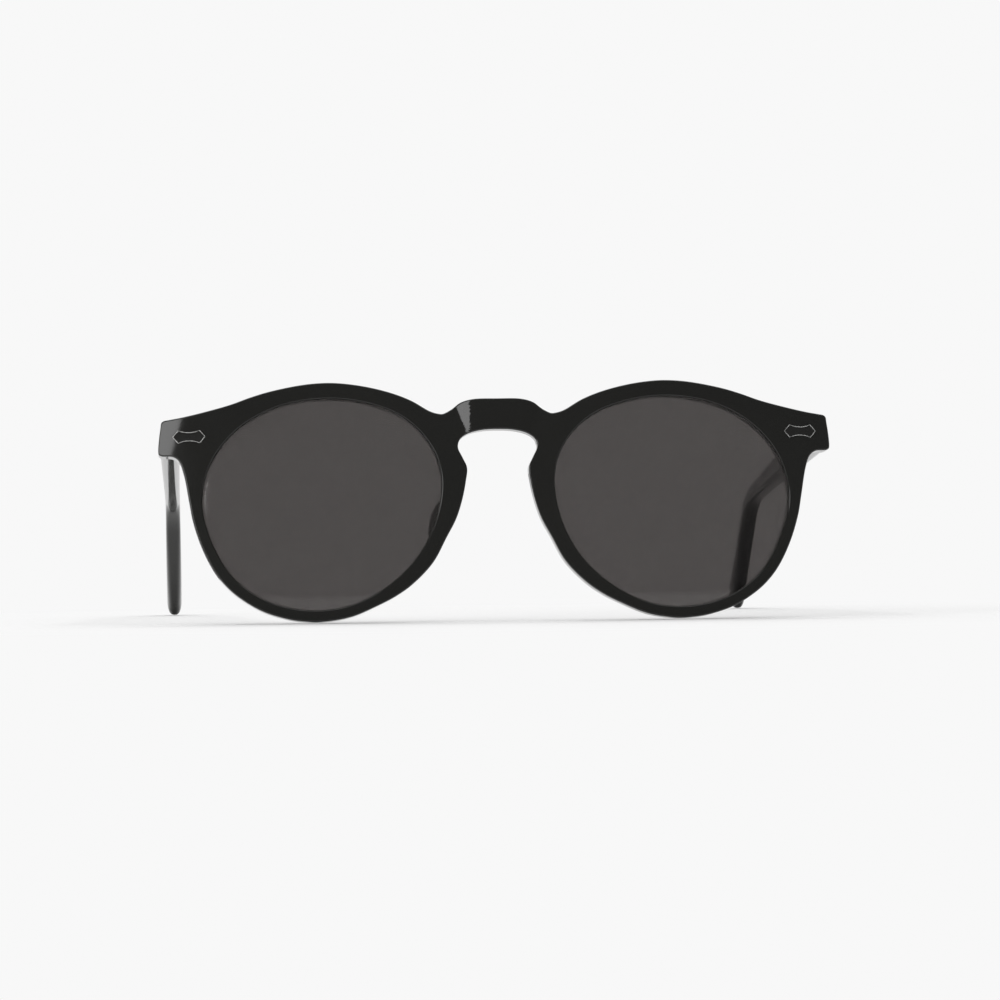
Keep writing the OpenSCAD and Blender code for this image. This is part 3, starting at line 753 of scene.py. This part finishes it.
def temple_rings():
    """All rings of a temple: a rounded lead, the run of the plan and a round cap."""
    run = spline(PLAN, PLAN_STEPS)
    a = np.radians(np.linspace(6, 88, PLAN_STEPS))[:, None]
    reach = CAP_R * np.cos(a)
    cap = np.hstack([CAP_S + CAP_R * np.sin(a), reach, reach, PADDLE_T * np.sqrt(np.cos(a))])
    stations = np.vstack([run, cap])
    body = temple_ring(*stations.T)
    b = np.radians(np.linspace(0, 90, 6))[:-1]
    back, gain = LEAD_ROUND * np.cos(b), LEAD_ROUND * np.sin(b) - LEAD_ROUND
    lead = temple_ring(LEAD_ROUND - back, UP + gain, TEMPLE_H - UP + gain, TEMPLE_T + 2 * gain)
    return np.concatenate([lead, body[stations[:, 0] > LEAD_ROUND + 0.05]])


LEAF_Y = SPLIT_Y + 1.7
SUNK, SUNK_MARGIN, SUNK_EDGE = 0.06, 0.5, 0.4


def temple_skin():
    """The rings as a closed skin, let in round the hinge plate on the inner face."""
    rings = temple_rings()
    x, y, z = np.moveaxis(rings, -1, 0)
    along = ease((LEAF_Y + LEAF_L + SUNK_MARGIN - y) / SUNK_EDGE)
    across = ease((LEAF_H / 2 + SUNK_MARGIN - np.abs(z - END_Z)) / SUNK_EDGE)
    rings[..., 0] = np.where(x < TEMPLE_MID, x + SUNK * along * across, x)
    m, n = rings.shape[:2]
    ends = np.stack([rings[0].mean(0), rings[-1].mean(0)])
    points = np.vstack([rings.reshape(-1, 3), ends])
    k = np.arange(n)
    first = np.stack([k * 0 + m * n, k, (k + 1) % n], -1)
    tip = np.stack([k * 0 + m * n + 1, (m - 1) * n + (k + 1) % n, (m - 1) * n + k], -1)
    sides = grid_faces(m, n, False, True)[:, ::-1]
    return points, sides.tolist() + first.tolist() + tip.tolist()


skin = temple_skin()
make("left_temple_acetate", skin, [acetate], "left_temple_arm", "acetate", ["left_temple"])
skin = mirrored(skin)
make("right_temple_acetate", skin, [acetate], "right_temple_arm", "acetate", ["right_temple"])

# %% [markdown]
# The plaque is stamped from thin sheet: a silver outline stands up round a darkened
# middle. Its outline has two pointed lobes and a waist.


# %% Plaques
PLAQUE_RISE, POINT_INSET = 0.2, 1.2


def plaque_loop(inset):
    """Outline (x, z) of the bow tie, moved in by an inset."""
    l, h, w = PLAQUE_L / 2 - POINT_INSET * inset, PLAQUE_H / 2 - inset, PLAQUE_WAIST / 2 - inset
    half = np.array([
        [0, w], [l * 0.16, w + 0.02], [l * 0.32, w + 0.1], [l * 0.48, (w + h) / 2],
        [l * 0.66, h], [l * 0.84, h / 2], [l, 0],
    ])
    low = half[-2::-1] * [1, -1]
    left = half[1:] * [-1, -1]
    up = half[-2:0:-1] * [-1, 1]
    return np.vstack([half, low, left, up])


def plaque_skin():
    """Rings (inset, height) from the buried back up over the border and down to the middle."""
    steps = [
        (0, 0), (0, PLAQUE_T - 0.08), (0.02, PLAQUE_T - 0.03), (0.05, PLAQUE_T),
        (PLAQUE_BORDER - 0.04, PLAQUE_T), (PLAQUE_BORDER, PLAQUE_T - 0.04),
        (PLAQUE_BORDER + 0.02, PLAQUE_T - 0.1),
    ]
    turn = math.asin(PLAQUE_X / FRONT_R)
    at = np.array([PLAQUE_X, float(front_y(np.array(PLAQUE_X))), END_Z + PLAQUE_RISE])
    along = np.array([math.cos(turn), math.sin(turn), 0])
    out = np.array([math.sin(turn), -math.cos(turn), 0])

    def place(u, v, d):
        up = v[:, None] * np.array([0, 0, 1.0])
        return at + u[:, None] * along + (d - PLAQUE_T / 2) * out + up

    rings = np.stack([place(*plaque_loop(i).T, d) for i, d in steps])
    m, n = rings.shape[:2]
    back = np.arange(n).tolist()
    top = (np.arange(n)[::-1] + (m - 1) * n).tolist()
    border = grid_faces(m, n, False, True)[:, ::-1].tolist()
    return rings, border + [back, top]


skin, metal = plaque_skin(), [silver, enamel]
numbers = [0] * (len(skin[1]) - 1) + [1]  # the last face is the dark middle
make(
    "left_plaque_inlay", skin, metal, "front", "plaque_metal", ["left_plaque"], False, numbers
)
skin = mirrored(skin)
make(
    "right_plaque_inlay", skin, metal, "front", "plaque_metal", ["right_plaque"], False, numbers
)

# %% [markdown]
# The nose pads are cut from the same acetate, bonded to the rims and buffed round. They
# swell out behind the front and splay like the nose.


# %% Nose pads
PAD_ROWS, PAD_EVEN, PAD_STEPS, CAP_ROWS = 41, 9, 5, 8
PAD_OFF, PAD_SUNK, PAD_THIN, PAD_WIDER = 0.35, 1.5, 1.6, 1.2
CAP_TALL, CAP_KEEP = 0.8, 0.97


def nose_x(z):
    """x of the front's inner edge at height z, straight between the outline's points."""
    low, high = (rim(i, RIM_NOSE)[:2] for i in (10, 9.5))
    xs, zs = np.array([[low[0] + 3, -16], low, high, *NOSE_SIDE]).T
    return np.interp(z, zs, xs)


def pad_sections(z, swell):
    """(x, y) sections of a pad at heights z: from the front's back out round the swell."""
    edge_x = np.pad(nose_x(z), PAD_EVEN // 2, mode="edge")
    x = np.convolve(edge_x, np.ones(PAD_EVEN) / PAD_EVEN, "valid") + PAD_OFF
    y = FRONT_R - np.sqrt((FRONT_R - FRONT_T) ** 2 - x**2)
    d, w = PAD_DEPTH * swell, PAD_THIN + PAD_WIDER * swell
    shape = [
        (x, y - PAD_SUNK), (x + 0.12 * d, y + 0.35 * d), (x + 0.32 * d, y + 0.8 * d),
        (x + 0.45 * d, y + 0.96 * d), (x + 0.6 * d, y + d), (x + 0.75 * d, y + 0.93 * d),
        (x + 0.6 * d + 0.3 * w, y + 0.7 * d), (x + 0.3 * d + 0.75 * w, y + 0.3 * d),
        (x + w, y - PAD_SUNK),
    ]
    outlines = np.stack([np.stack(point, -1) for point in shape], 1)
    return np.stack([spline(outline, PAD_STEPS) for outline in outlines])


def pad_skin():
    """Sections that swell as (sin pi(0.04 + 0.92 f))^0.7, rounded off at both ends."""
    f = np.linspace(0, 1, PAD_ROWS)
    z = PAD_LOW + f * (PAD_HIGH - PAD_LOW)
    rings = pad_sections(z, np.sin(math.pi * (0.04 + 0.92 * f)) ** 0.7)
    n = rings.shape[1]
    points = np.stack([rings[..., 0], rings[..., 1], np.repeat(z[:, None], n, 1)], -1)
    a = np.radians(np.linspace(90, 0, CAP_ROWS))[:-1]
    mid = points[[0, -1]].mean(1)
    low = mid[0] + (points[0] - mid[0]) * np.cos(a[:, None, None] * CAP_KEEP)
    low[..., 2] -= CAP_TALL * np.sin(a)[:, None]
    top = mid[1] + (points[-1] - mid[1]) * np.cos(a[::-1, None, None] * CAP_KEEP)
    top[..., 2] += CAP_TALL * np.sin(a[::-1])[:, None]
    points = np.concatenate([low, points, top])
    m = len(points)
    body = grid_faces(m, n, False, True)[:, ::-1]
    caps = [np.arange(n).tolist(), (np.arange(n)[::-1] + (m - 1) * n).tolist()]
    return points, body.tolist() + caps


skin = pad_skin()
make("left_nose_pad_buffed", skin, [acetate], "front", "acetate", ["left_nose_pad"])
skin = mirrored(skin)
make("right_nose_pad_buffed", skin, [acetate], "front", "acetate", ["right_nose_pad"])

# %% [markdown]
# The glasses stand on a pale seamless paper, as in the photograph. The paper keeps the
# shadow near the glasses, and further off its colour meets the background's.

# %% Floor
FLOOR_POINTS, FLOOR_RADII, FLOOR_DROP = 64, (0.05, 0.15, 0.4, 1.2, 4.0), 0.0001
angle = np.arange(FLOOR_POINTS) * 2 * math.pi / FLOOR_POINTS
circle = np.stack([np.cos(angle), np.sin(angle), 0 * angle], -1)
pts = np.concatenate([r * circle for r in FLOOR_RADII])
rings = grid_faces(len(FLOOR_RADII), FLOOR_POINTS, False, True)[:, ::-1]
mesh = bpy.data.meshes.new("floor")
mesh.from_pydata(pts.tolist(), [], rings.tolist() + [list(range(FLOOR_POINTS))])
floor = bpy.data.objects.new("floor", mesh)
bpy.context.scene.collection.objects.link(floor)
floor.location.z = -FLOOR_DROP
floor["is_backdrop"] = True
print("floor radius", FLOOR_RADII[-1], "m")

# %% [markdown]
# The camera sees the paper turn into the plain background a short way from the glasses.
# In a reflection the paper ends before the camera, and the dim room begins there.

# %% Paper
WHITE, ROOM = 0.938, 0.18  # levels of the background and of the room behind the camera
PAPER_FADES, ROOM_BEGINS = (0.1, 0.19), (-0.25, -1.1)  # m from the middle, m along y


def join(links, *pairs):
    """A link from the first socket to the second of each pair."""
    for start, end in pairs:
        links.new(start, end)


paper, nodes, links, bsdf = material("floor_paper")
bsdf.inputs["Base Color"].default_value = (0.95, 0.95, 0.95, 1)
bsdf.inputs["Roughness"].default_value = 0.9
bsdf.inputs["Specular IOR Level"].default_value = 0.1
coords, path, split = (add(nodes, kind) for kind in ("TexCoord", "LightPath", "SeparateXYZ"))
length = add(nodes, "VectorMath", "LENGTH")
fade, ahead = map_range(nodes, *PAPER_FADES), map_range(nodes, *ROOM_BEGINS)
seen, mirror = add(nodes, "Math", "MULTIPLY"), add(nodes, "Math", "MULTIPLY")
either, tone = add(nodes, "Math", "MAXIMUM"), add(nodes, "Math", "MULTIPLY_ADD")
glow, blend = add(nodes, "Emission"), add(nodes, "MixShader")
tone.inputs[1].default_value, tone.inputs[2].default_value = WHITE - ROOM, ROOM
# the glow takes over from the paper far off, and in reflections of its near end
join(
    links,
    (coords.outputs["Object"], length.inputs[0]),
    (length.outputs["Value"], fade.inputs["Value"]),
    (fade.outputs["Result"], seen.inputs[0]),
    (path.outputs["Is Camera Ray"], seen.inputs[1]),
    (coords.outputs["Object"], split.inputs["Vector"]),
    (split.outputs["Y"], ahead.inputs["Value"]),
    (ahead.outputs["Result"], mirror.inputs[0]),
    (path.outputs["Is Glossy Ray"], mirror.inputs[1]),
    (mirror.outputs["Value"], either.inputs[0]),
    (seen.outputs["Value"], either.inputs[1]),
    (path.outputs["Is Camera Ray"], tone.inputs[0]),
    (tone.outputs["Value"], glow.inputs["Strength"]),
    (either.outputs["Value"], blend.inputs["Fac"]),
    (bsdf.outputs["BSDF"], blend.inputs[1]),
    (glow.outputs["Emission"], blend.inputs[2]),
    (blend.outputs["Shader"], nodes["Material Output"].inputs["Surface"]),
)
mesh.materials.append(paper)
print("paper fades from", PAPER_FADES[0], "to", PAPER_FADES[1], "m")

# %% [markdown]
# The background is white to the camera and through the lenses. Reflections see the dim
# room behind the camera and the white behind the glasses, so the acetate stays nearly
# black. All else gets a plain ambient level.

# %% World
AMBIENT, ROOM_TO_WHITE = 0.46, (-0.5, 0.6)  # a level, and from..to of a ray's y
world = bpy.data.worlds.new("studio")
bpy.context.scene.world = world
world.use_nodes = True
nodes, links = world.node_tree.nodes, world.node_tree.links
nodes.clear()
coords, path, split = (add(nodes, kind) for kind in ("TexCoord", "LightPath", "SeparateXYZ"))
depth = map_range(nodes, *ROOM_TO_WHITE, ROOM, WHITE)
through = add(nodes, "Math", "MAXIMUM")
glossy, level = add(nodes, "Mix"), add(nodes, "Mix")
glossy.inputs["A"].default_value = AMBIENT
level.inputs["B"].default_value = WHITE
sky, out = add(nodes, "Background"), add(nodes, "OutputWorld")
join(
    links,
    (coords.outputs["Generated"], split.inputs["Vector"]),
    (split.outputs["Y"], depth.inputs["Value"]),
    (path.outputs["Is Camera Ray"], through.inputs[0]),
    (path.outputs["Is Transmission Ray"], through.inputs[1]),
    (path.outputs["Is Glossy Ray"], glossy.inputs["Factor"]),
    (depth.outputs["Result"], glossy.inputs["B"]),
    (through.outputs["Value"], level.inputs["Factor"]),
    (glossy.outputs["Result"], level.inputs["A"]),
    (level.outputs["Result"], sky.inputs["Color"]),
    (sky.outputs["Background"], out.inputs["Surface"]),
)
print("ambient", AMBIENT)

# %% [markdown]
# A big soft light hangs over the glasses, and a wide one stands low at the picture's
# left. The flats of the bridge and of the endpiece on that side mirror the second.


# %% Lamps
def softbox(name, where, aim, size, watts):
    """A rectangular area light at where, turned to aim."""
    lamp = bpy.data.lights.new(name, "AREA")
    lamp.shape = "RECTANGLE"
    lamp.size, lamp.size_y = size
    lamp.energy = watts
    ob = bpy.data.objects.new(name, lamp)
    ob.location = where
    x, y, z = np.array(aim) - np.array(where)
    ob.rotation_euler = (math.atan2(math.hypot(x, y), -z), 0, math.atan2(y, x) - math.pi / 2)
    bpy.context.scene.collection.objects.link(ob)
    print(name, watts, "W")


softbox("overhead", where=(0, 0.1, 1.3), aim=(0, 0, 0), size=(1.6, 1.6), watts=12.5)
softbox(
    "left_panel", where=(-0.94, -0.9, 0.26), aim=(-0.16, 0.013, 0.15), size=(1.08, 0.4), watts=5.7
)

# %% [markdown]
# The camera looks at the middle of the lenses from the front, a few degrees to the left.
# Its focal length gives the photograph's scale, and its shift puts the glasses where they
# are in the photograph.

# %% Camera
FRAME_PX, PX_PER_MM, MIDDLE_X, MIDDLE_Y = 1000, 4.848, 498.8, 501.8
LENS_MID, DISTANCE, SENSOR = (0, -0.0754, 0.0246), 0.9, 36
AZIMUTH, ELEVATION, ROLL = math.radians(-4.0), math.radians(-0.6), math.radians(-0.65)
CLIP_NEAR, CLIP_FAR = 0.05, 20
camera = bpy.data.objects.new("camera", bpy.data.cameras.new("camera"))
bpy.context.scene.collection.objects.link(camera)
camera.data.sensor_width = SENSOR
camera.data.lens = SENSOR * DISTANCE * 1000 * PX_PER_MM / FRAME_PX
camera.data.shift_x = (FRAME_PX / 2 - MIDDLE_X) / FRAME_PX
camera.data.shift_y = (MIDDLE_Y - FRAME_PX / 2) / FRAME_PX
level_part = math.cos(ELEVATION)
away = np.array([
    math.sin(AZIMUTH) * level_part, -math.cos(AZIMUTH) * level_part, math.sin(ELEVATION)
])
camera.location = np.array(LENS_MID) + away * DISTANCE
aim = Euler((math.pi / 2 - ELEVATION, 0, AZIMUTH)).to_matrix() @ Matrix.Rotation(ROLL, 3, "Z")
camera.rotation_euler = aim.to_euler()
camera.data.clip_start, camera.data.clip_end = CLIP_NEAR, CLIP_FAR
bpy.context.scene.camera = camera
bpy.context.scene.view_settings.view_transform = "Standard"
print("camera lens", round(camera.data.lens, 1), "mm")

# %% Finish
visual_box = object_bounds()
for name, box in (("CAD", cad_box), ("visual", visual_box)):
    print(name, "box", [round(v, 4) for end in box for v in end])
